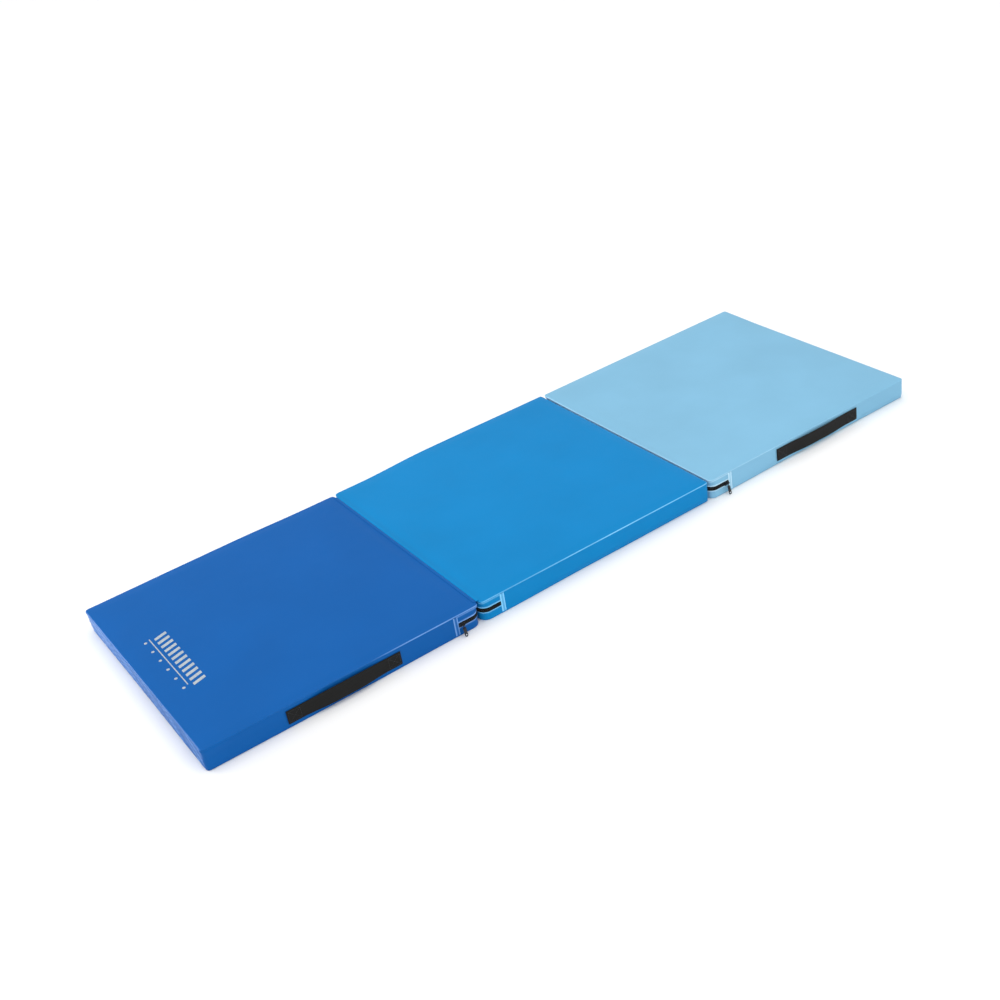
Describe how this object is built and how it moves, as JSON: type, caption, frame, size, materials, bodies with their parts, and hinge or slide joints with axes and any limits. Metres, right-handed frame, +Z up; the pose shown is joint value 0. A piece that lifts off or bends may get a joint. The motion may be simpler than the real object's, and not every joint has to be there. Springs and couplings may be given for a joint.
{
  "type": "folding gym mat",
  "caption": "Folding exercise mat: square foam panels in zipped vinyl covers, joined in a row by fabric hinges on opposite faces so that they fold in a Z, with webbing carry handles.",
  "frame": {"origin": "middle of the open mat's footprint, on the floor", "axes": "+X along the open mat, from the dark blue panel to the light blue one; -Y is the side with the carry handles; +Z up"},
  "size_m": [1.808, 0.6252, 0.05],
  "materials": {
    "left_vinyl": "satin",
    "middle_vinyl": "satin",
    "right_vinyl": "satin",
    "foam": "matte",
    "zip_tape": "matte",
    "zip_coil": "satin",
    "zip_metal": "satin",
    "webbing": "matte"
  },
  "bodies": {
    "left_panel": {"left_foam_core": "foam", "left_top_sheet": "left_vinyl", "left_bottom_sheet": "left_vinyl", "left_side_band": "left_vinyl", "left_zip_flap_upper": "left_vinyl", "left_zip_flap_lower": "left_vinyl", "left_zip_end_tab_front": "left_vinyl", "left_zip_end_tab_back": "left_vinyl", "left_zip_tape_upper": "zip_tape", "left_zip_tape_lower": "zip_tape", "left_zip_coil_upper": "zip_coil", "left_zip_coil_lower": "zip_coil", "left_handle": "webbing"},
    "left_slider": {"left_zip_slider": "zip_metal"},
    "left_link": {"left_pull_link": "zip_metal"},
    "left_tab": {"left_pull_tab": "zip_metal"},
    "middle_panel": {"middle_foam_core": "foam", "middle_top_sheet": "middle_vinyl", "middle_bottom_sheet": "middle_vinyl", "middle_side_band": "middle_vinyl", "middle_zip_flap_upper": "middle_vinyl", "middle_zip_flap_lower": "middle_vinyl", "middle_zip_end_tab_front": "middle_vinyl", "middle_zip_end_tab_back": "middle_vinyl", "middle_zip_tape_upper": "zip_tape", "middle_zip_tape_lower": "zip_tape", "middle_zip_coil_upper": "zip_coil", "middle_zip_coil_lower": "zip_coil", "hinge_strip_top": "middle_vinyl", "hinge_strip_bottom": "middle_vinyl"},
    "middle_slider": {"middle_zip_slider": "zip_metal"},
    "middle_link": {"middle_pull_link": "zip_metal"},
    "middle_tab": {"middle_pull_tab": "zip_metal"},
    "right_panel": {"right_foam_core": "foam", "right_top_sheet": "right_vinyl", "right_bottom_sheet": "right_vinyl", "right_side_band": "right_vinyl", "right_zip_flap_upper": "right_vinyl", "right_zip_flap_lower": "right_vinyl", "right_zip_end_tab_front": "right_vinyl", "right_zip_end_tab_back": "right_vinyl", "right_zip_tape_upper": "zip_tape", "right_zip_tape_lower": "zip_tape", "right_zip_coil_upper": "zip_coil", "right_zip_coil_lower": "zip_coil", "right_handle": "webbing"},
    "right_slider": {"right_zip_slider": "zip_metal"},
    "right_link": {"right_pull_link": "zip_metal"},
    "right_tab": {"right_pull_tab": "zip_metal"}
  },
  "joints": [
    {"name": "fold_left", "type": "hinge", "parent": "middle_panel", "child": "left_panel", "pos_m": [-0.302, 0, 0.0503], "axis": [0, 1, 0], "range_deg": [0, 180]},
    {"name": "fold_right", "type": "hinge", "parent": "middle_panel", "child": "right_panel", "pos_m": [0.302, 0, -0.0003], "axis": [0, 1, 0], "range_deg": [0, 180]},
    {"name": "left_slider_slide", "type": "slide", "parent": "left_panel", "child": "left_slider", "axis": [1, 0, 0], "range_m": [0, 0.02]},
    {"name": "left_link_swing", "type": "hinge", "parent": "left_slider", "child": "left_link", "pos_m": [-0.349, -0.3056, 0.025], "axis": [-1, 0, 0], "range_deg": [-15, 150]},
    {"name": "left_tab_swing", "type": "hinge", "parent": "left_link", "child": "left_tab", "pos_m": [-0.349, -0.30741, 0.01824], "axis": [0, -0.9659, 0.2588], "range_deg": [-80, 80]},
    {"name": "middle_slider_slide", "type": "slide", "parent": "middle_panel", "child": "middle_slider", "axis": [-1, 0, 0], "range_m": [0, 0.02]},
    {"name": "middle_link_swing", "type": "hinge", "parent": "middle_slider", "child": "middle_link", "pos_m": [-0.255, 0.3056, 0.025], "axis": [1, 0, 0], "range_deg": [-15, 150]},
    {"name": "middle_tab_swing", "type": "hinge", "parent": "middle_link", "child": "middle_tab", "pos_m": [-0.255, 0.30741, 0.01824], "axis": [0, 0.9659, 0.2588], "range_deg": [-80, 80]},
    {"name": "right_slider_slide", "type": "slide", "parent": "right_panel", "child": "right_slider", "axis": [-1, 0, 0], "range_m": [0, 0.02]},
    {"name": "right_link_swing", "type": "hinge", "parent": "right_slider", "child": "right_link", "pos_m": [0.349, -0.3056, 0.025], "axis": [-1, 0, 0], "range_deg": [-15, 150]},
    {"name": "right_tab_swing", "type": "hinge", "parent": "right_link", "child": "right_tab", "pos_m": [0.349, -0.30741, 0.01824], "axis": [0, -0.9659, 0.2588], "range_deg": [-80, 80]}
  ]
}
